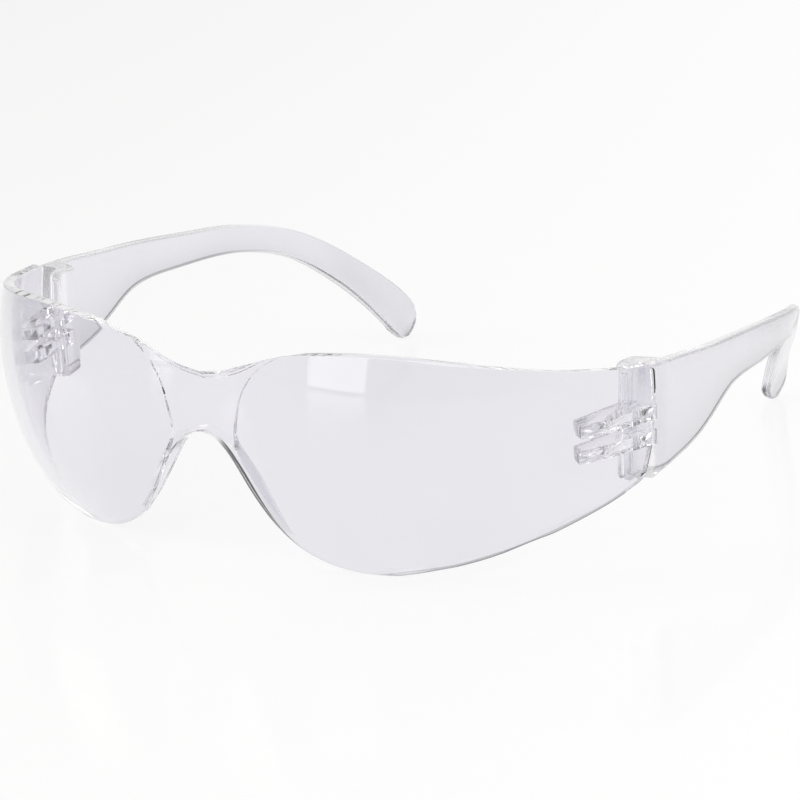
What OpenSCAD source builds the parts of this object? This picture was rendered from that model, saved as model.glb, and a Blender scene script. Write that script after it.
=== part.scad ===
// Wraparound safety glasses: one clear lens shield with a moulded nose bridge,
// two folding temples, and a plain pin in each hinge.
// Millimetres. The front faces -Y and the wearer's left is +X.
// z = 0 is the surface that the lens and the temple tips rest on.

/* [Lens shield] */
// Width across the two eye domes
dome_span = 146; // [144:0.5:148]
// Outer radius of each eye dome
dome_r = 54.4; // [53.8:0.1:55]
// Wall thickness of the panes
lens_t = 2.2; // [2:0.1:2.4]
// Radius of the hollow that joins the domes over the nose
valley_r = 42; // [38:1:46]
// How far the back of the nose pad lies behind the domes' front
pad_back = 5.2; // [5:0.1:5.6]
// Height of the domes' centres above the rest surface
dome_z = 29.6; // [29.6:0.1:30]

/* [Hinge] */
// Thickness of each rib on the lens
rib_t = 2.7; // [2.4:0.1:2.9]
// Height of the upper rib's middle
rib_upper_z = 27.5; // [27.3:0.1:27.8]
// Height of the lower rib's middle
rib_lower_z = 22.6; // [22.3:0.1:22.8]
// Distance from the middle of the glasses to each hinge axis
axis_x = 65.7; // [65.4:0.1:65.8]
// Distance from the front of the lens to the hinge axes
axis_y = 44.8; // [44.6:0.1:45]
// Outer radius of a rib's eye
eye_r = 1.8; // [1.6:0.1:1.9]
// Radius of the hinge pin
pin_r = 0.6; // [0.5:0.05:0.7]
// Radial play of the pin in the ribs' eyes
pin_play = 0.05; // [0.03:0.01:0.08]
// Gap above and below each rib in its slot
slot_play = 0.15; // [0.1:0.05:0.2]
// Height of the pin's lower end
pin_bottom_z = 15.4; // [15.2:0.1:16]
// Height of the pin's upper end
pin_top_z = 34.9; // [34:0.1:35]

/* [Temples] */
// Depth of the glasses from the lens front to the temple tips
depth = 144; // [143.5:0.5:145]
// Thickness of the temple behind the hinge
temple_front_t = 2.4; // [2.2:0.1:2.6]
// Thickness of the temple at its tip
temple_tip_t = 1.8; // [1.6:0.1:2]
// Thickness of the hinge knuckles at the temple's front end
knuckle_t = 2.8; // [2.6:0.1:3]
// Gap between the rear edge of the lens and the shoulder of the open temple
shoulder_gap = 0.4; // [0.3:0.05:0.5]

/* [Hidden] */
big = 200;
// Facets of the large round surfaces, of the eyes and slots, and of the hinge bore.
fine = 128;
medium = 48;
coarse = 32;
// Points that a smooth line gets for each one that it is drawn through.
line_steps = 3;
clear_grey = [0.90, 0.90, 0.92, 0.45];
frost_grey = [0.88, 0.89, 0.89, 0.60];

// Centres of the domes, and the hollow that touches both of them.
dome_x = dome_span / 2 - dome_r;
valley_c = sqrt(pow(dome_r + valley_r, 2) - dome_x * dome_x);
pad_rho = dome_r - pad_back;
// The pad's front lies just inside the outer surface of the hollow.
pad_sunk = 0.25;
pad_front_rho = valley_c - valley_r - pad_sunk;

// Upper edge of the lens seen from the front, from the middle outwards: [x, z].
front_top = [[0, 37.3], [5, 38.2], [10, 40], [16, 42.1], [22, 43.5], [28, 44.1], [35, 44.4],
             [42, 44], [48, 43.1], [54, 42.2], [60, 41.1]];
// Lower edge of the lens seen from the front, from the bridge round the eye: [x, z].
front_bottom = [[0, 25.6], [2.2, 25.1], [4.6, 23.6], [6.8, 21.2], [8.8, 18.2], [11.4, 13.8],
                [14.2, 9.4], [17.8, 5.2], [22.5, 2.2], [27.5, 0.6], [32, 0], [36, 0],
                [41, 0.9], [47, 2.3], [53, 4.3], [59, 7]];
// Upper and lower edges of the lens seen from the side: [y, z].
side_top = [[14, 43.4], [20, 41.4], [27, 39.8], [34, 38.6], [40, 37.7], [44.6, 37.3]];
side_bottom = [[19, 3.2], [25.4, 6.5], [32, 9.5], [39, 12.2], [45.2, 14.8]];
// Rear edge of the lens from its upper to its lower corner, and the space in front of it: [y, z].
side_rear = [[45.7, 37], [46.2, 36.4], [46.3, 35.6], [45.9, 28], [45.5, 20]];
side_front = [[12, -1], [-1, -1], [-1, 60], [8, 60]];
// How far the cut-out shapes seen from the front reach, in y.
front_reach = -5;
rear_reach = 50;
// Top of the nose pad behind the bridge, from the middle outwards: [x, z].
pad_top = [[0, 35.8], [5, 36.6], [10, 38.6], [14.6, 40.7]];
// Outer line of the nose pad: down the bridge, then beside the nose edge: [x, z].
pad_line = [[14.9, 40.5], [12.5, 37.4], [9.8, 33.4], [8.3, 29.4], [7.6, 26], [7.8, 23.8],
            [8.9, 21.5], [10.5, 18.6], [12.9, 14.4], [15.5, 10.2], [16.5, 8.4]];
// Nothing of the pad lies further back than this from the lens front.
pad_back_end = 7;
// Outline of a rib, from its front end in the pane's wall, past its eye, and back into the wall: [x, y].
rib_front = [[68, 29.2], [62, 32.4]];
rib_sides = [[axis_x - eye_r, axis_y], [axis_x, axis_y + eye_r]];
rib_rear = [[72, 46.3], [72, 32]];
// Heights between which the bore runs through the ribs' eyes, and where the temple's bore starts.
eye_bore_z = [15, 35];
temple_bore_z = 10;

// Middle line of the temple from its front end to its tip: [x, y, z], y from the lens front.
path = [[70.4, 43.2, 25.45], [70.8, 60.5, 26.8], [70.5, 76, 29.3], [69.1, 91.5, 28.8],
        [66.1, 107.5, 27.5], [60.2, 119.8, 24], [53.2, 129.8, 16.2], [46.7, 138.2, 6.4]];
// Half height of the temple, and how far its top leans outwards, at the same places.
half_h = [11.45, 9, 4.9, 3.7, 3, 3.1, 4, 4.8];
lean = [0, 0, -1, -4, 8, 23, 38, 34];
tip = [45.2, 140.2, 0.28];
// Rings of the temple near its front end, as distances from it, and then at even steps.
front_rings = [0, 0.15, 0.5, 1, 1.7, 2.6, 2.95, 3.25, 3.7, 4.5, 5.4, 6, 6.6, 7.2, 7.8, 8.6, 9.4];
rings = 56;
tip_rings = 8;
// Radius of the temple's long edges, and the most of its half height that they may take.
edge_r = 0.7;
edge_share = 0.9;
// The shoulder stands behind the rear edge of the lens, which leans back by this much for each mm up.
rear_slant = 0.053;
rear_edge_y = 45.75;
shoulder_y = rear_edge_y + shoulder_gap;
shoulder_round = 0.3;
// The web between knuckles and temple ends in a smooth curve on the inside.
web_y = 48.6;
web_curve = 4;
slot_back = 47.2;
slot_reach = 8;
slot_w = 20;
front_round = 2.6;
// The ribbon's ring planes turn from the rear edge's slant to square over this length.
settle = 15;
// Half a step for measuring the ribbon's direction, and the share of its height left at its very tip.
du = 0.02;
tip_flat = 0.06;
// Corners of a ring, and angles of the points that round each corner.
corner_angles = [0, 45, 90];

// A smooth curve through the points of list p, at place u from 0 to len(p) - 1.
function span_at(p, u) = min(floor(u), len(p) - 2);
function before(p, i) = i > 0 ? p[i - 1] : 2 * p[0] - p[1];
function after(p, i) = i + 2 < len(p) ? p[i + 2] : 2 * p[i + 1] - p[i];
function cubic(a, b, c, d, f) =
    b + 0.5 * f * (c - a + f * (2 * a - 5 * b + 4 * c - d + f * (3 * (b - c) + d - a)));
function at(p, u) = let (i = span_at(p, u)) cubic(before(p, i), p[i], p[i + 1], after(p, i), u - i);
function smooth(p, steps) = [for (k = [0 : steps * (len(p) - 1)]) at(p, k / steps)];
function reversed(p) = [for (k = [1 : len(p)]) p[len(p) - k]];
function last(p) = p[len(p) - 1];
function mirrored(p) = [for (q = p) [-q[0], q[1]]];
// Both halves of a line, joined into one from left to right; a point on the middle isn't repeated.
function both_sides(p) =
    concat(reversed(mirrored(p)), p[0][0] == 0 ? [for (k = [1 : len(p) - 1]) p[k]] : p);
function unit(v) = v / norm(v);
function ease(f) = let (c = min(max(f, 0), 1)) c * c * (3 - 2 * c);

// ---- Lens shield ----

// Section of the space inside the outer surface sunk by t: radius along x, width along y.
module dome_section(t) {
    blend = dome_x * (valley_r + t) / (dome_r + valley_r);
    for (side = [-1, 1])
        translate([0, side * dome_x]) circle(r = dome_r - t, $fn = fine);
    difference() {
        translate([valley_c / 2, -blend]) square([valley_c / 2, 2 * blend]);
        translate([valley_c, 0]) circle(r = valley_r + t, $fn = fine);
    }
}

// Turns a half section about the line through both dome centres.
module about_dome_line() {
    translate([0, dome_r, dome_z])
        rotate([0, 90, 0])
            rotate_extrude($fn = fine)
                children();
}

module pane() {
    about_dome_line()
        difference() {
            dome_section(0);
            dome_section(lens_t);
            translate([-big, -big / 2]) square([big, big]);
        }
}

module front_outline() {
    upper = concat(smooth(front_top, line_steps), [[big, last(front_top)[1]]]);
    drawn = concat(smooth(front_bottom, line_steps), [[big, last(front_bottom)[1]]]);
    lower = [for (q = drawn) [q[0], max(q[1], 0)]];
    polygon(concat(both_sides(upper), reversed(both_sides(lower))));
}

module side_outline() {
    polygon(concat(side_front, smooth(side_top, line_steps), side_rear,
                   reversed(smooth(side_bottom, line_steps))));
}

module from_front(y0, y1) {
    translate([0, y1, 0]) rotate([90, 0, 0]) linear_extrude(y1 - y0) children();
}

module lens_envelope() {
    intersection() {
        from_front(front_reach, rear_reach) front_outline();
        rotate([90, 0, 90])
            linear_extrude(big, center = true) side_outline();
    }
}

// The thicker part that sits on the nose: behind the bridge and down both nose edges.
module nose_pad() {
    line = concat(smooth(pad_top, line_steps), smooth(pad_line, line_steps));
    intersection() {
        about_dome_line()
            translate([pad_rho, -dome_x]) square([pad_front_rho - pad_rho, 2 * dome_x]);
        from_front(front_reach, pad_back_end) polygon(both_sides(line));
    }
}

module rib(z) {
    translate([0, 0, z - rib_t / 2])
        linear_extrude(rib_t)
            intersection() {
                union() {
                    polygon(concat(rib_front, rib_sides, rib_rear));
                    translate([axis_x, axis_y]) circle(r = eye_r, $fn = medium);
                }
                translate([dome_x, dome_r]) circle(r = dome_r - lens_t / 2, $fn = fine);
            }
}

module hinge_axis_hole(r, z0, z1) {
    translate([axis_x, axis_y, z0]) cylinder(r = r, h = z1 - z0, $fn = coarse);
}

module lens_shield() {
    color(clear_grey)
        translate([0, -depth / 2, 0]) {
            intersection() {
                union() {
                    pane();
                    nose_pad();
                }
                lens_envelope();
            }
            for (s = [0, 1])
                mirror([s, 0])
                    difference() {
                        union() {
                            rib(rib_upper_z);
                            rib(rib_lower_z);
                        }
                        hinge_axis_hole(pin_r + pin_play, eye_bore_z[0], eye_bore_z[1]);
                    }
        }
}

// ---- Temples ----

full_path = concat(path, [tip]);
full_h = concat(half_h, [last(half_h)]);
full_lean = concat(lean, [last(lean)]);
last_u = len(full_path) - 1;

function middle(u) = at(full_path, u);
// How far the middle line has passed y, at place u.
function past(u, y) = middle(u)[1] - y;
function blend(a, b, f) = a + (b - a) * ease(f);
function heading(u) =
    let (a = max(u - du, 0), b = min(u + du, last_u)) unit(middle(b) - middle(a));
function upright(u) =
    let (t = heading(u), across = unit([0, 0, 1] - t * t[2]), a = at(full_lean, u),
         v = unit(blend([0, rear_slant, 1], across, past(u, shoulder_y) / settle)))
    cos(a) * v + sin(a) * cross(t, v);
function round_end(d, r) = d >= r ? 1 : max(sqrt(max(1 - pow((r - d) / r, 2), 0)), tip_flat);
function height(u) =
    let (h = at(full_h, u), d = norm(middle(last_u) - middle(u)), f = norm(middle(u) - middle(0)))
    h * round_end(d, h) - front_round * (1 - round_end(f, front_round));
function thickness(u) = temple_front_t + (temple_tip_t - temple_front_t) * u / last_u;

// Distances from the middle line to the outer and the inner face. The knuckles lie about the hinge axis.
function outer(u) =
    blend(axis_x - middle(u)[0] + knuckle_t / 2, thickness(u) / 2, past(u, shoulder_y) / shoulder_round);
function inner(u) =
    blend(middle(u)[0] - axis_x + knuckle_t / 2, thickness(u) / 2, past(u, web_y) / web_curve);

// One ring of the temple: a rectangle with three-point rounded corners.
function ring(u) =
    let (c = middle(u), v = upright(u), n = unit(cross(heading(u), v)), h = height(u),
         r = min(edge_r, h * edge_share), out = outer(u) - r, in = r - inner(u))
    [for (q = [[out, 1, 0], [in, 1, 90], [in, -1, 180], [out, -1, 270]], a = corner_angles)
        c + n * (q[0] + r * cos(q[2] + a)) + v * (q[1] * (h - r) + r * sin(q[2] + a))];

ring_u = concat([for (d = front_rings) d / (path[1][1] - path[0][1])],
                [for (k = [5 : rings]) k * (last_u - 1) / rings],
                [for (k = [1 : tip_rings]) last_u - pow(1 - k / tip_rings, 2)]);

module ribbon() {
    n = 4 * len(corner_angles);
    m = len(ring_u);
    points = [for (u = ring_u) each ring(u)];
    sides = [for (i = [0 : m - 2], j = [0 : n - 1])
        [i * n + j, i * n + (j + 1) % n, (i + 1) * n + (j + 1) % n, (i + 1) * n + j]];
    ends = [[for (j = [0 : n - 1]) n - 1 - j], [for (j = [0 : n - 1]) (m - 1) * n + j]];
    polyhedron(points, concat(sides, ends), convexity = 6);
}

module rib_slot(z) {
    translate([axis_x - slot_reach, axis_y - slot_reach, z - rib_t / 2 - slot_play])
        cube([slot_w, slot_back - axis_y + slot_reach, rib_t + 2 * slot_play]);
}

// The temple on the wearer's left.
module temple() {
    difference() {
        ribbon();
        rib_slot(rib_upper_z);
        rib_slot(rib_lower_z);
        hinge_axis_hole(pin_r, temple_bore_z, pin_top_z);
    }
}

module temple_left() {
    color(frost_grey) translate([0, -depth / 2, 0]) temple();
}

module temple_right() {
    color(frost_grey) mirror([1, 0, 0]) translate([0, -depth / 2, 0]) temple();
}

// ---- Hinge pins ----

module hinge_pin() {
    translate([0, -depth / 2, 0]) hinge_axis_hole(pin_r, pin_bottom_z, pin_top_z);
}

module hinge_pin_left() {
    color(frost_grey) hinge_pin();
}

module hinge_pin_right() {
    color(frost_grey) mirror([1, 0, 0]) hinge_pin();
}

lens_shield();
temple_left();
temple_right();
hinge_pin_left();
hinge_pin_right();
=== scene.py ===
"""Clear wraparound safety glasses: lens shield, two temples and two hinge pins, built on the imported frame.

Shapes are worked out in millimetres, with x across, y back from the front of the lens and z up from the
surface that the glasses stand on. to_frame() takes them to the frame's metres.
"""

import math

import bmesh
import bpy
import numpy as np
from mathutils import Matrix, Vector

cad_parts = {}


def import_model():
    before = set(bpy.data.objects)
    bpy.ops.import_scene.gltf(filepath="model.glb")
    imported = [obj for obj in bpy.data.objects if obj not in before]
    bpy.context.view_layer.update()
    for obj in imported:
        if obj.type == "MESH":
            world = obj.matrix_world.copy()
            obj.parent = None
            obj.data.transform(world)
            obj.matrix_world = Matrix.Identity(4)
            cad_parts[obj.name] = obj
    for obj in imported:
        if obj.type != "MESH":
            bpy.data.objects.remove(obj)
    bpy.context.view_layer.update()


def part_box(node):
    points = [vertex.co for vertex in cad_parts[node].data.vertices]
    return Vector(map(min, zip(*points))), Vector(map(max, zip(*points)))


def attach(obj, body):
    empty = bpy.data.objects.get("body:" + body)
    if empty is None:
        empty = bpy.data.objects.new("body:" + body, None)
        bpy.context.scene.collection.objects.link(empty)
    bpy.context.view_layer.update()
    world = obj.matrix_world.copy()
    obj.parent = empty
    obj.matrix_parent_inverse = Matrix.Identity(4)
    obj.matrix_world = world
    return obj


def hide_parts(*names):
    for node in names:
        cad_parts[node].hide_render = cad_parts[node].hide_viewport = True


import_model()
MM = 0.001
PIN_LOW, PIN_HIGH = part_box("hinge_pin_left")
FRONT_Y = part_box("lens_shield")[0].y


def to_frame(points):
    """Millimetres from the lens front to metres in the frame."""
    p = np.asarray(points, float) * MM
    p[..., 1] += FRONT_Y
    return p


# ---- Sizes, in millimetres ----

# Two domes side by side, DOME_SPAN across both, joined over the nose by a hollow of radius VALLEY_R.
DOME_SPAN = 146.0
DOME_R = 54.4
DOME_Z = 29.6
VALLEY_R = 42.0
LENS_T = 2.2
DOME_X = DOME_SPAN / 2 - DOME_R
VALLEY_C = math.sqrt((DOME_R + VALLEY_R) ** 2 - DOME_X**2)

# Hinge: the pin as the frame has it, the ribs' thickness and middle heights, and the room between pieces.
AXIS_X = (PIN_LOW.x + PIN_HIGH.x) / 2 / MM
AXIS_Y = ((PIN_LOW.y + PIN_HIGH.y) / 2 - FRONT_Y) / MM
PIN_R = (PIN_HIGH.x - PIN_LOW.x) / 2 / MM
PIN_Z = (PIN_LOW.z / MM, PIN_HIGH.z / MM)
RIB_T = 2.7
RIB_Z = (27.5, 22.6)
EYE_R = 1.8
EYE_PLAY = 0.05
SLOT_PLAY = 0.15
BORE_GAP = 0.03

# Lens outline seen from the front, [x, z], and from the side, [y, z]. The rear edge is [z, y].
FRONT_TOP = [[0, 37.3], [5, 38.2], [10, 40], [16, 42.1], [22, 43.5], [28, 44.1], [35, 44.39],
             [42, 44], [48, 43.1], [54, 42.2], [60, 41.1], [90, 41.1]]
FRONT_BOTTOM = [[0, 25.6], [2.2, 25.1], [4.6, 23.6], [6.8, 21.2], [8.8, 18.2], [11.4, 13.8],
                [14.2, 9.4], [17.8, 5.2], [22.5, 2.2], [27.5, 0.6], [32, 0], [36, 0],
                [41, 0.9], [47, 2.3], [53, 4.3], [59, 7], [90, 7]]
SIDE_TOP = [[0, 60], [8, 50], [14, 43.4], [20, 41.4], [27, 39.8], [34, 38.6], [40, 37.7], [44.6, 37.3],
            [60, 36.9]]
SIDE_BOTTOM = [[0, -30], [12, -1], [19, 3.2], [25.4, 6.5], [32, 9.5], [39, 12.2], [45.2, 14.8], [60, 19]]
REAR_EDGE = [[0, 45], [14.8, 45.2], [20, 45.5], [28, 45.9], [35.6, 46.3], [60, 47]]
CORNER_R = 1.0
# About the length of the lens from its middle to one rear edge, measured round its front.
HALF_LENGTH = 85.0
# Fall of the lens' top face over the nose: slope, x where it starts to fade, and the width of the fade.
TOP_SLOPES = [(0.12, 18, 8), (0.38, 8, 7)]


# ---- Curves ----

def curve(points):
    """A smooth function through [x, y] points: cubics with slopes taken from each point's neighbours."""
    p = np.asarray(points, float)
    slope = np.gradient(p[:, 1], p[:, 0])

    def value(x):
        x = np.clip(np.asarray(x, float), p[0, 0], p[-1, 0])
        i = np.clip(np.searchsorted(p[:, 0], x, side="right") - 1, 0, len(p) - 2)
        h = p[i + 1, 0] - p[i, 0]
        f = (x - p[i, 0]) / h
        return (p[i, 1] * (1 + 2 * f) * (1 - f) ** 2 + p[i + 1, 1] * f * f * (3 - 2 * f)
                + h * f * (1 - f) * (slope[i] * (1 - f) - slope[i + 1] * f))

    return value


def ease(f):
    """0 to 1 with a gentle start and end."""
    f = np.clip(f, 0, 1)
    return f * f * (3 - 2 * f)


front_top, front_bottom = curve(FRONT_TOP), curve(FRONT_BOTTOM)
side_top, side_bottom, rear_edge = curve(SIDE_TOP), curve(SIDE_BOTTOM), curve(REAR_EDGE)


def turned_radius(x, sunk):
    """Radius of the lens about the line through its dome centres, for its surface sunk by that much."""
    x = np.abs(x)
    edge = DOME_X * (VALLEY_R + sunk) / (DOME_R + VALLEY_R)
    dome = np.sqrt(np.maximum((DOME_R - sunk) ** 2 - (x - DOME_X) ** 2, 0))
    hollow = VALLEY_C - np.sqrt(np.maximum((VALLEY_R + sunk) ** 2 - x**2, 0))
    return np.where(x < edge, hollow, dome)


def depth_at(x, z, sunk):
    """y of the lens surface at (x, z)."""
    return DOME_R - np.sqrt(np.maximum(turned_radius(x, sunk) ** 2 - (z - DOME_Z) ** 2, 0))


# The lens grid's columns fan out from a point this far behind the lens front. Its surface is looked for
# between these distances from there, by halving.
FAN_Y = 47.5
NEAREST = 5.0
FARTHEST = 90.0
HALVINGS = 44


def on_surface(angle, z, sunk):
    """Point of the lens surface at height z, in the direction angle from the middle of the face."""
    lo, hi = np.full(np.shape(angle), NEAREST), np.full(np.shape(angle), FARTHEST)
    for _ in range(HALVINGS):
        r = (lo + hi) / 2
        x, y = r * np.sin(angle), FAN_Y - r * np.cos(angle)
        inside = turned_radius(x, sunk) ** 2 - (z - DOME_Z) ** 2 > (DOME_R - y) ** 2
        inside &= np.abs(x) < DOME_X + DOME_R
        lo, hi = np.where(inside, r, lo), np.where(inside, hi, r)
    return r * np.sin(angle), FAN_Y - r * np.cos(angle)


def top_slope(x):
    """How far the lens' top face falls for each millimetre towards the rear."""
    return sum(slope * (1 - ease((np.abs(x) - start) / width)) for slope, start, width in TOP_SLOPES)


def top_edge(x, y, sunk):
    """Height of the lens' top edge, for its surface sunk by that much."""
    return np.minimum(front_top(np.abs(x)) - sunk * top_slope(x), side_top(y))


def bottom_edge(x, y):
    """Height of the lens' bottom edge."""
    return np.maximum(np.maximum(front_bottom(np.abs(x)), side_bottom(y)), 0)


def lens_grid(sunk, columns, rows):
    """A grid of points over one face of the pane, from one rear edge to the other."""
    s = columns[:, None]
    w = rows[None, :]
    mid = np.full_like(s, DOME_Z)

    def boundary(edge):
        z = mid.copy()
        for _ in range(12):
            z = edge(*on_surface(s * end_angle(z, sunk), z, sunk))
        return z

    top = boundary(lambda x, y: top_edge(x, y, sunk))
    low = boundary(bottom_edge)
    # Rounded corners at the rear edge, to which a column at s still has this many millimetres.
    left = (1 - np.abs(s)) * HALF_LENGTH
    drop = CORNER_R - np.sqrt(np.maximum(CORNER_R**2 - np.maximum(CORNER_R - left, 0) ** 2, 0))
    top, low = top - drop, low + drop
    z = low + (top - low) * w
    x, y = on_surface(s * end_angle(z, sunk), z, sunk)
    return np.stack([x, y, z], -1)


def end_angle(z, sunk):
    """Direction of the rear edge at height z."""
    y = rear_edge(z)
    x = DOME_X + np.sqrt(np.maximum((DOME_R - sunk) ** 2 - (DOME_R - y) ** 2 - (z - DOME_Z) ** 2, 1))
    return np.arctan2(x, FAN_Y - y)


# ---- Mesh helpers ----

def mesh_object(name, verts, faces):
    """An object in the scene from points in millimetres, with its normals outwards."""
    me = bpy.data.meshes.new(name)
    me.from_pydata([tuple(v) for v in to_frame(verts)], [], faces)
    me.validate()
    bm = bmesh.new()
    bm.from_mesh(me)
    bmesh.ops.recalc_face_normals(bm, faces=bm.faces)
    bm.to_mesh(me)
    bm.free()
    ob = bpy.data.objects.new(name, me)
    bpy.context.scene.collection.objects.link(ob)
    return ob


def grid_faces(n, m, start=0, flip=False):
    """Faces of an n by m grid of points that begins at index start."""
    out = []
    for i in range(n - 1):
        for j in range(m - 1):
            a = start + i * m + j
            q = (a, a + m, a + m + 1, a + 1)
            out.append(q[::-1] if flip else q)
    return out


def border(n, m):
    """Indices round the edge of an n by m grid, in order."""
    return ([i * m for i in range(n)] + [(n - 1) * m + j for j in range(1, m)]
            + [i * m + m - 1 for i in range(n - 2, -1, -1)] + [j for j in range(m - 2, 0, -1)])


def ring_solid(name, verts, rings, around):
    """A closed solid from rings of points, with a flat face on its first and its last ring."""
    faces = []
    for i in range(rings - 1):
        for j in range(around):
            a, b = i * around + j, i * around + (j + 1) % around
            faces.append((a, b, b + around, a + around))
    faces += [tuple(range(around))[::-1], tuple((rings - 1) * around + j for j in range(around))]
    return mesh_object(name, verts, faces)


def round_edges(ob, chosen, radius, segments):
    """Rounds the edges of ob for which chosen(edge) is true."""
    bm = bmesh.new()
    bm.from_mesh(ob.data)
    bm.verts.ensure_lookup_table()
    bmesh.ops.bevel(bm, geom=[e for e in bm.edges if chosen(e)], offset=radius * MM, segments=segments,
                    profile=0.5, affect="EDGES", clamp_overlap=True)
    bm.to_mesh(ob.data)
    bm.free()


def sheet_solid(name, outer, inner, round_r, segments=5):
    """A closed solid between two grids of the same size, with its rim rounded."""
    n, m = outer.shape[:2]
    verts = np.concatenate([outer.reshape(-1, 3), inner.reshape(-1, 3)])
    faces = grid_faces(n, m) + grid_faces(n, m, n * m, True)
    loop = border(n, m)
    for k, a in enumerate(loop):
        b = loop[(k + 1) % len(loop)]
        faces.append((a, b, b + n * m, a + n * m))
    ob = mesh_object(name, verts, faces)
    rim = {frozenset((loop[k], loop[(k + 1) % len(loop)])) for k in range(len(loop))}
    rim |= {frozenset(v + n * m for v in e) for e in rim}
    round_edges(ob, lambda e: frozenset(v.index for v in e.verts) in rim, round_r, segments)
    return ob


# Edges with a greater turn than this, in degrees, are the ones that prism() rounds.
SHARP = 40


def prism(name, outline, z0, z1, round_r=0.0, segments=3):
    """An outline in x and y, extruded up, with its edges sharper than SHARP degrees rounded."""
    n = len(outline)
    verts = [(x, y, z0) for x, y in outline] + [(x, y, z1) for x, y in outline]
    faces = [tuple(range(n))[::-1], tuple(range(n, 2 * n))]
    faces += [(i, (i + 1) % n, n + (i + 1) % n, n + i) for i in range(n)]
    ob = mesh_object(name, verts, faces)
    if round_r:
        round_edges(ob, lambda e: e.calc_face_angle(0) > math.radians(SHARP), round_r, segments)
    return ob


# Points round a pin or its bore.
ROUND = 48


def circle(cx, cy, r, n, start=0.0, stop=360.0):
    """n points of a circle, or of an arc between two angles in degrees."""
    angles = np.radians(np.linspace(start, stop, n, endpoint=stop - start < 360))
    return [(cx + r * math.cos(a), cy + r * math.sin(a)) for a in angles]


# Points that a boolean leaves closer together than this become one.
JOIN = 0.002


def combine(target, others, operation):
    """Boolean of target with each of others, which are then removed."""
    for other in others:
        mod = target.modifiers.new("b", "BOOLEAN")
        mod.operation, mod.object, mod.solver = operation, other, "MANIFOLD"
        bpy.context.view_layer.update()
        dg = bpy.context.evaluated_depsgraph_get()
        made = bpy.data.meshes.new_from_object(target.evaluated_get(dg))
        target.modifiers.remove(mod)
        old = target.data
        target.data = made
        bpy.data.meshes.remove(old)
        bpy.data.objects.remove(other)
    bm = bmesh.new()
    bm.from_mesh(target.data)
    bmesh.ops.remove_doubles(bm, verts=bm.verts, dist=JOIN * MM)
    bmesh.ops.dissolve_degenerate(bm, dist=JOIN * MM, edges=bm.edges)
    bmesh.ops.delete(bm, geom=[v for v in bm.verts if not v.link_faces], context="VERTS")
    bm.to_mesh(target.data)
    bm.free()
    return target


def smooth(ob, degrees=36):
    """Smooth shading, apart from edges sharper than that many degrees."""
    ob.data.polygons.foreach_set("use_smooth", [True] * len(ob.data.polygons))
    ob.data.set_sharp_from_angle(angle=math.radians(degrees))
    return ob


def flipped(ob, name):
    """A mirror image of ob in x, as a new object."""
    other = bpy.data.objects.new(name, ob.data.copy())
    other.data.name = name
    other.data.transform(Matrix.Scale(-1, 4, (1, 0, 0)))
    other.data.flip_normals()
    bpy.context.scene.collection.objects.link(other)
    return other


# ---- Lens shield ----

RIM_R = 0.3
NOSE_SHARE = 0.22
# y between which cutters pass right through the pad, and z between which the bores pass through the ribs.
THROUGH_Y = (-8, 16)
BORE_Z = (12, 38)
# y of a rib's rear and front end on the lens, the corner where its end face meets its inner side, [x, y],
# the arc of its eye in degrees, and the rounding of its edges.
RIB_Y = (46.0, 29.6)
RIB_CORNER = (62.0, 32.4)
EYE_ARC = (180, 60)
RIB_ROUND = 0.2


def lens_columns():
    """Column places from -1 to 1, closer together over the nose and at the rounded corners."""
    nose = np.linspace(0, NOSE_SHARE, 44, endpoint=False)
    side = np.linspace(NOSE_SHARE, 0.985, 84)
    half = np.concatenate([nose, side, [0.990, 0.9945, 0.9975, 1.0]])
    return np.concatenate([-half[:0:-1], half])


def make_pane():
    """The lens without its pad and ribs."""
    columns = lens_columns()
    rows = np.linspace(0, 1, 53)
    outer = lens_grid(0.0, columns, rows)
    inner = lens_grid(LENS_T, columns, rows)
    return sheet_solid("pane", outer, inner, RIM_R)


# Nose pad seen from the front: the line where it steps down to the pane, as [z, x], from its lower end up.
PAD_STEP = [[5, 20.6], [8, 17.2], [10.2, 15.6], [14.4, 12.9], [18.6, 10.4], [21.5, 8.6], [24, 7.5],
            [26, 7.45], [29.4, 8.05], [33.4, 9.15], [35.6, 10.3], [38, 12], [39.4, 13.4], [40.6, 15.2],
            [43, 20]]
# How far the pad's rear face lies behind the lens' front, as [z, distance].
PAD_DEPTH = [[0, 1.4], [6.5, 1.9], [9, 2.6], [12, 3.5], [15, 4.2], [18.5, 4.6], [21.5, 4.3], [24.5, 3.5],
             [28, 3.15], [50, 3.15]]
# Its front face lies this deep in the pane, its top is a ledge below the pane's, and it starts at this
# height and spans this far to each side.
PAD_SINK = 1.1
PAD_LEDGE = 0.36
PAD_LOW = 4.0
PAD_HALF = 20.0
# The pad stops this much above the pane's own bottom edge, so that the two faces don't coincide.
NOSE_TRIM = 0.02


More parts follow.
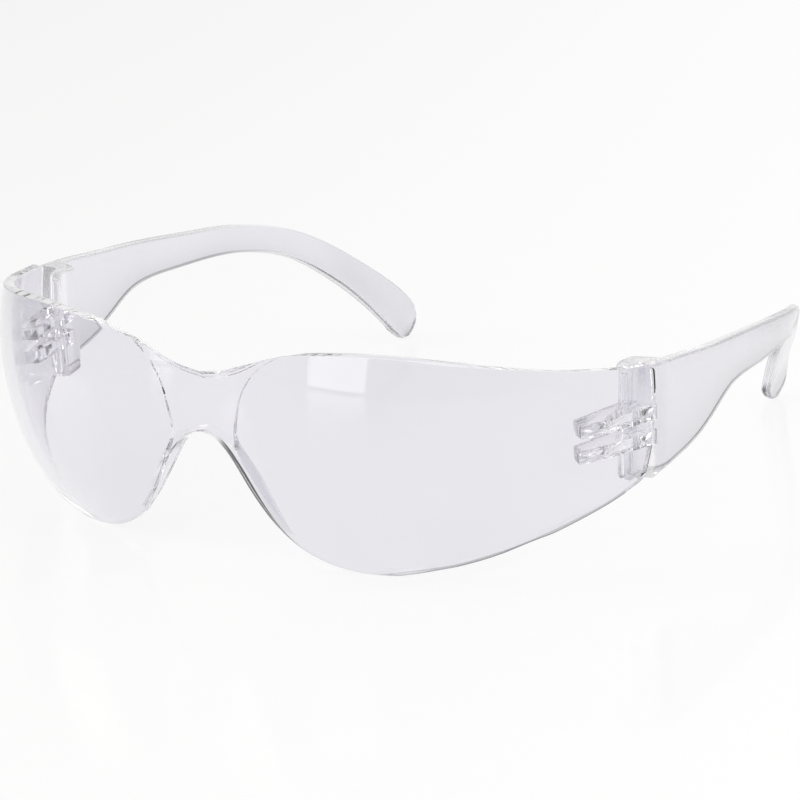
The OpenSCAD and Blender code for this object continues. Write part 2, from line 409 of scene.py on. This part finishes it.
def make_pad():
    """The thicker part behind the bridge, with a flange that tapers down each nose edge."""
    xs = np.linspace(-PAD_HALF, PAD_HALF, 121)[:, None]
    w = np.linspace(0, 1, 73)[None, :]

    def face(depth):
        z = PAD_LOW + (front_top(np.abs(xs)) - PAD_LOW) * w
        for _ in range(4):
            sunk = depth(z)
            top = front_top(np.abs(xs)) - sunk * top_slope(xs) - PAD_LEDGE
            z = PAD_LOW + (top - PAD_LOW) * w
        x = xs + 0 * z
        return np.stack([x, depth_at(x, z, sunk), z], -1)

    pad = sheet_solid("pad", face(lambda z: np.full_like(z, PAD_SINK)), face(curve(PAD_DEPTH)), RIM_R)
    step = curve(PAD_STEP)
    line = [(float(step(z)), float(z)) for z in np.linspace(PAD_STEP[0][0], PAD_STEP[-1][0], 96)]
    half = [(line[0][0], PAD_LOW / 2)] + line + [(line[-1][0] - 1, DOME_R)]
    outline = half + [(-x, z) for x, z in half[::-1]]
    combine(pad, [front_prism("pad_outline", outline, *THROUGH_Y)], "INTERSECT")
    reach = PAD_HALF + 1
    edge = [(float(x), float(front_bottom(abs(x))) + NOSE_TRIM) for x in np.linspace(-reach, reach, 141)]
    nose = [(-reach, -PAD_LOW)] + edge + [(reach, -PAD_LOW)]
    return combine(pad, [front_prism("nose", nose, *THROUGH_Y)], "DIFFERENCE")


def front_prism(name, outline, y0, y1):
    """An outline seen from the front, [x, z], extruded from y0 to y1."""
    n = len(outline)
    verts = [(x, y, z) for y in (y0, y1) for x, z in outline]
    faces = [tuple(range(n)), tuple(range(n, 2 * n))[::-1]]
    faces += [(i, (i + 1) % n, n + (i + 1) % n, n + i)[::-1] for i in range(n)]
    return mesh_object(name, verts, faces)


def make_lens(name):
    """The lens shield: pane, nose pad, and ribs with bores for the pins."""
    lens = make_pane()
    lens.name = name
    combine(lens, [make_pad()], "UNION")
    for side in (1, -1):
        combine(lens, [rib(side, z) for z in RIB_Z], "UNION")
        bore = prism("bore", circle(side * AXIS_X, AXIS_Y, PIN_R + EYE_PLAY, ROUND), *BORE_Z)
        combine(lens, [bore], "DIFFERENCE")
    return smooth(lens)


def rib(side, z):
    """One hinge rib on the inside of the lens, with the round eye for the pin."""
    ys = np.linspace(*RIB_Y, 24)
    middle = DOME_R - LENS_T / 2
    wall = [(DOME_X + math.sqrt(middle**2 - (DOME_R - y) ** 2 - (z - DOME_Z) ** 2), y) for y in ys]
    eye = circle(AXIS_X, AXIS_Y, EYE_R, 22, *EYE_ARC)
    outline = [(side * x, y) for x, y in wall + [RIB_CORNER] + eye]
    return prism("rib", outline if side > 0 else outline[::-1], z - RIB_T / 2, z + RIB_T / 2, RIB_ROUND, 2)


# ---- Temples ----

# Middle of the blade from the hinge to the tip, with its half height and its lean in degrees at each point.
PATH = [[70.4, 43.2, 25.45], [70.8, 60.5, 26.8], [70.5, 76, 29.3], [69.1, 91.5, 28.8],
        [66.1, 107.5, 27.5], [60.2, 119.8, 24], [53.2, 129.8, 16.2], [46.7, 138.2, 6.4], [45.2, 140.19, 0.3]]
HALF_H = [11.45, 9, 4.9, 3.7, 3, 3.1, 4, 4.8, 4.8]
LEAN = [0, 0, -1, -4, 8, 23, 38, 34, 34]
# Thickness at the hinge and at the tip, and of the knuckles.
TEMPLE_T = (2.4, 1.8)
KNUCKLE_T = 2.8
EDGE_R = 0.7
# The front end slants like the lens' rear edge, and turns square to the blade over SETTLE behind it.
REAR_SLANT = 0.053
SETTLE = 15.0
# The outer face steps out just behind the lens, and the inner face curves in behind the knuckles' web.
SHOULDER_Y = 46.15
SHOULDER_ROUND = 0.3
WEB_Y = 48.6
WEB_CURVE = 4.0
# The slots for the ribs end at SLOT_BACK, and their cutter reaches this far out from the pin.
SLOT_BACK = 47.2
SLOT_REACH = 12.0
# Rounding of the front end's corners, and the smallest share of the height left at an end.
FRONT_ROUND = 2.6
THINNEST = 0.06
# Step along PATH, in points, over which its direction is measured.
NUDGE = 0.02


def spline(points, u):
    """Catmull-Rom curve through points with even steps, at places u."""
    p = np.asarray(points, float)
    p = p[:, None] if p.ndim == 1 else p
    i = np.clip(np.floor(u).astype(int), 0, len(p) - 2)
    f = (u - i)[:, None]
    first, final = 2 * p[0] - p[1], 2 * p[-1] - p[-2]
    q = np.vstack([first, p, final])
    a, b, c, d = q[i], q[i + 1], q[i + 2], q[i + 3]
    return b + 0.5 * f * (c - a + f * (2 * a - 5 * b + 4 * c - d + f * (3 * (b - c) + d - a)))


def blend(a, b, f):
    """From a to b as f goes from 0 to 1, with a gentle start and end."""
    return a + (b - a) * ease(f)


def unit(vectors):
    """Each row scaled to length 1."""
    return vectors / np.linalg.norm(vectors, axis=1)[:, None]


def round_end(d, r):
    """Share of the full height at distance d from an end with a round corner of radius r."""
    return np.where(d >= r, 1, np.maximum(np.sqrt(np.maximum(1 - ((r - d) / r) ** 2, 0)), THINNEST))


def temple_places():
    """Places along PATH for the rings: close together round the knuckles and the tip."""
    last = len(PATH) - 1
    step = PATH[1][1] - PATH[0][1]
    knuckles = np.array([0, 0.06, 0.2, 0.4, 0.7, 1.1, 1.6, 2.1, 2.6, 2.85, 2.95, 3.0, 3.05, 3.1, 3.17, 3.25,
                         3.4, 3.7, 4.2, 4.8, 5.4, 5.8, 6.2, 6.6, 7, 7.4, 7.8, 8.2, 8.7, 9.3, 10])
    blade = np.linspace(10.7 / step, last - 1, 120)
    tip = last - (1 - np.arange(1, 17) / 16) ** 2
    return np.concatenate([knuckles / step, blade, tip])


def temple_axes(places, middle):
    """Unit vectors across the blade's thickness and up its height, where its middle is at those places."""
    last = len(PATH) - 1
    along = unit(spline(PATH, np.minimum(places + NUDGE, last)) - spline(PATH, np.maximum(places - NUDGE, 0)))
    square = unit(np.array([0, 0, 1.0]) - along * along[:, 2:3])
    settled = (middle[:, 1] - SHOULDER_Y) / SETTLE
    up = unit(blend(np.array([[0, REAR_SLANT, 1.0]]), square, settled[:, None]))
    lean = np.radians(spline(LEAN, places))
    up = np.cos(lean) * up + np.sin(lean) * np.cross(along, up)
    return unit(np.cross(along, up)), up


def temple_ring(middle, across, up, outer, inner, half_h):
    """The blade's outline at each place: a rectangle with rounded corners, as rings of points."""
    r = np.minimum(np.minimum(EDGE_R, half_h * 0.9), (outer + inner) * 0.48)
    corner = np.radians([0, 18, 36, 54, 72, 90])
    points = []
    for side_x, side_z, start in ((1, 1, 0), (-1, 1, 90), (-1, -1, 180), (1, -1, 270)):
        face = outer if side_x > 0 else -inner
        for a in corner + math.radians(start):
            points.append(middle + across * (face - side_x * r + r * math.cos(a))[:, None]
                          + up * (side_z * (half_h - r) + r * math.sin(a))[:, None])
    return np.stack(points, 1)


def make_temple(name):
    """The left temple: rings along PATH with rounded edges, slots for the ribs and a bore for the pin."""
    places = temple_places()
    middle = spline(PATH, places)
    across, up = temple_axes(places, middle)
    from_front = np.linalg.norm(middle - middle[0], axis=1)
    from_tip = np.linalg.norm(middle[-1] - middle, axis=1)
    half_h = spline(HALF_H, places)[:, 0]
    half_h = half_h * round_end(from_tip, half_h) - FRONT_ROUND * (1 - round_end(from_front, FRONT_ROUND))
    half_t = (TEMPLE_T[0] + (TEMPLE_T[1] - TEMPLE_T[0]) * places / (len(PATH) - 1)) / 2
    past_pin, y = middle[:, 0] - AXIS_X, middle[:, 1]
    outer = blend(KNUCKLE_T / 2 - past_pin, half_t, (y - SHOULDER_Y) / SHOULDER_ROUND)
    inner = blend(KNUCKLE_T / 2 + past_pin, half_t, (y - WEB_Y) / WEB_CURVE)
    # The knuckles' front end is round, about the hinge axis.
    nose = KNUCKLE_T / 2
    pull = nose * (1 - np.sqrt(np.maximum(1 - (np.maximum(nose - from_front, 0) / nose) ** 2, 0)))
    rings = temple_ring(middle, across, up, outer - pull, inner - pull, half_h)
    ob = ring_solid(name, rings.reshape(-1, 3), *rings.shape[:2])
    x0, x1, y0 = AXIS_X - SLOT_REACH, AXIS_X + SLOT_REACH, AXIS_Y - SLOT_REACH
    slot = [(x0, y0), (x1, y0), (x1, SLOT_BACK), (x0, SLOT_BACK)]
    half = RIB_T / 2 + SLOT_PLAY
    combine(ob, [prism("slot", slot, z - half, z + half) for z in RIB_Z], "DIFFERENCE")
    bore = prism("bore", circle(AXIS_X, AXIS_Y, PIN_R + BORE_GAP, ROUND), BORE_Z[0], PIN_Z[1] + BORE_GAP)
    combine(ob, [bore], "DIFFERENCE")
    return smooth(ob)


# ---- Hinge pins ----

PIN_CHAMFER = 0.15


def make_pin(name):
    """A plain round pin with a small chamfer at each end."""
    z0, z1 = PIN_Z
    thin = PIN_R - PIN_CHAMFER
    levels = [(z0, thin), (z0 + PIN_CHAMFER, PIN_R), (z1 - PIN_CHAMFER, PIN_R), (z1, thin)]
    verts = [(x, y, z) for z, r in levels for x, y in circle(AXIS_X, AXIS_Y, r, ROUND)]
    return smooth(ring_solid(name, verts, len(levels), ROUND))


# ---- Materials ----

# Tint of the temples' polished front, and the painted light on level faces: a near-clear tint that lightens
# them.
POLISHED = (0.99, 0.987, 0.998, 1)
LEVEL_PAINTED_LIGHT = (0.99, 0.987, 0.998, 1)
# How upright a face's normal is where the painted light on level faces begins, and where it is complete.
LEVEL_FROM = 0.6
LEVEL_TO = 0.85
POLISH_FADE = 0.0006
# Unevenness of the tint: its size in metres, and two places in the noise with their share of the colour.
FLOW_SIZE = 0.03
FLOW = ((0.35, 0.985), (0.65, 1.012))


def clear_plastic(name, colour, rough, grain, grain_size, bump, polished_to=None):
    """Clear moulded polycarbonate.

    Colour is what two crossings leave, a little uneven from the mould's flow. Grain is how much its gloss
    varies, grain_size the size of that in metres, and bump the height of its surface texture in metres. In
    front of polished_to, a place along y in metres, the plastic is polished and clearer. Level faces, which
    are the thin rims and the tops and undersides of ribs and knuckles, get painted light: a near-clear tint
    that lightens them.
    """
    mat = bpy.data.materials.new(name)
    mat.use_nodes = True
    nodes, links = mat.node_tree.nodes, mat.node_tree.links
    shader = nodes["Principled BSDF"]
    shader.inputs["Transmission Weight"].default_value = 1.0
    shader.inputs["IOR"].default_value = 1.586
    place = nodes.new("ShaderNodeTexCoord")

    def noise(size, detail):
        node = nodes.new("ShaderNodeTexNoise")
        node.inputs["Scale"].default_value = 1 / size
        node.inputs["Detail"].default_value = detail
        links.new(place.outputs["Object"], node.inputs["Vector"])
        return node.outputs["Fac"]

    def part(vector, axis):
        node = nodes.new("ShaderNodeSeparateXYZ")
        links.new(place.outputs[vector], node.inputs["Vector"])
        return node.outputs[axis]

    def math_node(operation, *values):
        node = nodes.new("ShaderNodeMath")
        node.operation = operation
        for value, socket in zip(values, node.inputs):
            links.new(value, socket)
        return node.outputs["Value"]

    def scaled(value, low, high, to_low=0.0, to_high=1.0):
        node = nodes.new("ShaderNodeMapRange")
        for limit, number in (("From Min", low), ("From Max", high), ("To Min", to_low), ("To Max", to_high)):
            node.inputs[limit].default_value = number
        links.new(value, node.inputs["Value"])
        return node.outputs["Result"]

    def mixed(share):
        node = nodes.new("ShaderNodeMix")
        node.data_type = "RGBA"
        links.new(share, node.inputs["Factor"])
        return node

    flow = nodes.new("ShaderNodeValToRGB")
    for stop, (position, share) in zip(flow.color_ramp.elements, FLOW):
        stop.position = position
        stop.color = (*(c * share for c in colour), 1)
    links.new(noise(FLOW_SIZE, 2.0), flow.inputs["Fac"])

    # Painted light: faces that are level, facing up or down, are mixed towards a near-clear tint, which
    # lightens them.
    upright = math_node("ABSOLUTE", part("Normal", "Z"))
    edge = mixed(scaled(upright, LEVEL_FROM, LEVEL_TO))
    edge.inputs["B"].default_value = LEVEL_PAINTED_LIGHT
    links.new(flow.outputs["Color"], edge.inputs["A"])
    tint = edge.outputs["Result"]
    roughness = scaled(noise(grain_size * 6, 3.0), 0.0, 1.0, rough, rough + grain)

    if polished_to is not None:
        frosted = scaled(part("Object", "Y"), polished_to, polished_to + POLISH_FADE)
        front = mixed(frosted)
        front.inputs["A"].default_value = POLISHED
        links.new(tint, front.inputs["B"])
        tint = front.outputs["Result"]
        roughness = math_node("MULTIPLY", frosted, roughness)
    links.new(tint, shader.inputs["Base Color"])
    links.new(roughness, shader.inputs["Roughness"])

    texture = nodes.new("ShaderNodeBump")
    texture.inputs["Strength"].default_value = 1.0
    texture.inputs["Distance"].default_value = bump
    links.new(noise(grain_size, 2.0), texture.inputs["Height"])
    links.new(texture.outputs["Normal"], shader.inputs["Normal"])
    return mat


def dress(ob, material):
    """Gives ob that material alone."""
    ob.data.materials.clear()
    ob.data.materials.append(material)


# ---- Studio ----

def direction(azimuth, elevation):
    """Unit vector towards a place round the glasses. Azimuth 0 is straight ahead of their wearer."""
    a, e = math.radians(azimuth), math.radians(elevation)
    return Vector((math.sin(a) * math.cos(e), -math.cos(a) * math.cos(e), math.sin(e)))


FLOOR_HALF = 30.0
FLOOR_Z = -0.0002
FLOOR_GREY = 0.15
FLOOR_GLOW = 0.885
FLOOR_ROUGH = 0.12
FLOOR_IOR = 1.15


def floor():
    """A plain pale surface with a little gloss, just under the glasses."""
    corners = [(x * FLOOR_HALF, y * FLOOR_HALF, 0) for x, y in ((-1, -1), (1, -1), (1, 1), (-1, 1))]
    me = bpy.data.meshes.new("floor")
    me.from_pydata(corners, [], [(0, 1, 2, 3)])
    ob = bpy.data.objects.new("floor", me)
    ob.location.z = FLOOR_Z
    bpy.context.scene.collection.objects.link(ob)
    mat = bpy.data.materials.new("floor_white")
    mat.use_nodes = True
    nodes, links = mat.node_tree.nodes, mat.node_tree.links
    nodes.remove(nodes["Principled BSDF"])
    dull = nodes.new("ShaderNodeBsdfDiffuse")
    dull.inputs["Color"].default_value = (FLOOR_GREY, FLOOR_GREY, FLOOR_GREY, 1)
    glow = nodes.new("ShaderNodeEmission")
    glow.inputs["Strength"].default_value = FLOOR_GLOW
    body = nodes.new("ShaderNodeAddShader")
    gloss = nodes.new("ShaderNodeBsdfGlossy")
    gloss.inputs["Color"].default_value = (1, 1, 1, 1)
    gloss.inputs["Roughness"].default_value = FLOOR_ROUGH
    facing = nodes.new("ShaderNodeFresnel")
    facing.inputs["IOR"].default_value = FLOOR_IOR
    whole = nodes.new("ShaderNodeMixShader")
    links.new(dull.outputs["BSDF"], body.inputs[0])
    links.new(glow.outputs["Emission"], body.inputs[1])
    links.new(facing.outputs["Fac"], whole.inputs["Fac"])
    links.new(body.outputs["Shader"], whole.inputs[1])
    links.new(gloss.outputs["BSDF"], whole.inputs[2])
    links.new(whole.outputs["Shader"], nodes["Material Output"].inputs["Surface"])
    me.materials.append(mat)


# Darker parts of the room: azimuth, elevation, radius of the dark middle, radius where it ends, light left.
DARK_PARTS = [(34, 25, 25, 60, 0.70), (147, 19, 9, 36, 0.04), (0, 90, 25, 60, 0.75), (-112, 12, 20, 45, 0.3)]


def world():
    """A white studio, darker overhead and where the photographer stands, with black boards at the sides."""
    w = bpy.data.worlds.new("studio")
    bpy.context.scene.world = w
    w.use_nodes = True
    nodes, links = w.node_tree.nodes, w.node_tree.links
    place = nodes.new("ShaderNodeTexCoord")
    level = None
    for azimuth, elevation, inner, outer, left in DARK_PARTS:
        dot = nodes.new("ShaderNodeVectorMath")
        dot.operation = "DOT_PRODUCT"
        dot.inputs[1].default_value = direction(azimuth, elevation)
        links.new(place.outputs["Generated"], dot.inputs[0])
        part = nodes.new("ShaderNodeMapRange")
        part.interpolation_type = "SMOOTHSTEP"
        part.inputs["From Min"].default_value = math.cos(math.radians(outer))
        part.inputs["From Max"].default_value = math.cos(math.radians(inner))
        part.inputs["To Min"].default_value = 1.0
        part.inputs["To Max"].default_value = left
        links.new(dot.outputs["Value"], part.inputs["Value"])
        if level is None:
            level = part.outputs["Result"]
            continue
        both = nodes.new("ShaderNodeMath")
        both.operation = "MULTIPLY"
        links.new(level, both.inputs[0])
        links.new(part.outputs["Result"], both.inputs[1])
        level = both.outputs["Value"]
    links.new(level, nodes["Background"].inputs["Color"])


def softbox(name, low, high, distance, radiance, colour=(1, 1, 1)):
    """A rectangular light that faces the glasses, between two corners given as azimuth and elevation."""
    middle = direction((low[0] + high[0]) / 2, (low[1] + high[1]) / 2)
    data = bpy.data.lights.new(name, "AREA")
    data.shape = "RECTANGLE"
    data.color = colour
    data.size = 2 * distance * math.tan(math.radians(high[0] - low[0]) / 2)
    data.size_y = 2 * distance * math.tan(math.radians(high[1] - low[1]) / 2)
    data.energy = radiance * math.pi * data.size * data.size_y
    ob = bpy.data.objects.new(name, data)
    bpy.context.scene.collection.objects.link(ob)
    ob.location = middle * distance
    ob.rotation_mode = "QUATERNION"
    ob.rotation_quaternion = (-middle).to_track_quat("-Z", "Y")


# The camera's azimuth, elevation and roll in degrees, and in millimetres its distance, how far it is moved
# across and up, what it faces, and its focal length on a sensor of this width.
CAMERA_TURN = (33.686, 17.796, -1.771)
CAMERA_DISTANCE = 900.0
CAMERA_SHIFT = (5.471, -13.683)
CAMERA_TARGET = (0, 60, DOME_Z)
CAMERA_LENS = 207.085
CAMERA_SENSOR = 36.0


def camera():
    """The view from the wearer's left front and a little above."""
    azimuth, elevation, roll = CAMERA_TURN
    back = direction(azimuth, elevation)
    az, roll = math.radians(azimuth), math.radians(roll)
    right = Vector((math.cos(az), math.sin(az), 0))
    up = back.cross(right)
    x_axis = right * math.cos(roll) + up * math.sin(roll)
    y_axis = -right * math.sin(roll) + up * math.cos(roll)
    place = (Vector(CAMERA_TARGET) + back * CAMERA_DISTANCE
             + x_axis * CAMERA_SHIFT[0] + y_axis * CAMERA_SHIFT[1])
    data = bpy.data.cameras.new("camera")
    data.lens = CAMERA_LENS
    data.sensor_width = CAMERA_SENSOR
    data.clip_start, data.clip_end = 0.05, 100
    ob = bpy.data.objects.new("camera", data)
    bpy.context.scene.collection.objects.link(ob)
    m = Matrix((x_axis, y_axis, back)).transposed().to_4x4()
    m.translation = Vector(to_frame(place))
    ob.matrix_world = m
    bpy.context.scene.camera = ob


# ---- Build ----

BOUNCES = 40
SOFTBOX_DISTANCE = 1.2

lens_mat = clear_plastic("clear_lens", (0.825, 0.815, 0.858), rough=0.0, grain=0.02, grain_size=0.008,
                         bump=0.000004)
temple_mat = clear_plastic("clear_temple", (0.838, 0.827, 0.866), rough=0.11, grain=0.05, grain_size=0.0006,
                           bump=0.000002, polished_to=SHOULDER_Y * MM + FRONT_Y)
pin_mat = clear_plastic("clear_pin", (0.98, 0.98, 0.99), rough=0.02, grain=0.03, grain_size=0.001,
                        bump=0.000001)

lens = make_lens("clear_lens_shield")
dress(lens, lens_mat)
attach(lens, "lens")
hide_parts("lens_shield")

left = make_temple("left_temple_arm")
right = flipped(left, "right_temple_arm")
left_pin = make_pin("left_pin")
right_pin = flipped(left_pin, "right_pin")
for side, arm, pin in (("left", left, left_pin), ("right", right, right_pin)):
    dress(arm, temple_mat)
    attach(arm, f"temple_{side}")
    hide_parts(f"temple_{side}")
    dress(pin, pin_mat)
    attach(pin, f"temple_{side}")
    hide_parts(f"hinge_pin_{side}")

floor()
world()
softbox("front_box", (-18, 1), (6, 32), SOFTBOX_DISTANCE, 1.35)
softbox("left_box", (-76, 12), (-48, 40), SOFTBOX_DISTANCE, 3.0, (1.0, 0.97, 0.86))
camera()
# Light that enters a thin clear edge leaves it after many bounces.
for name in ("max_bounces", "glossy_bounces", "transmission_bounces"):
    setattr(bpy.context.scene.cycles, name, BOUNCES)
bpy.context.scene.view_settings.view_transform = "Standard"
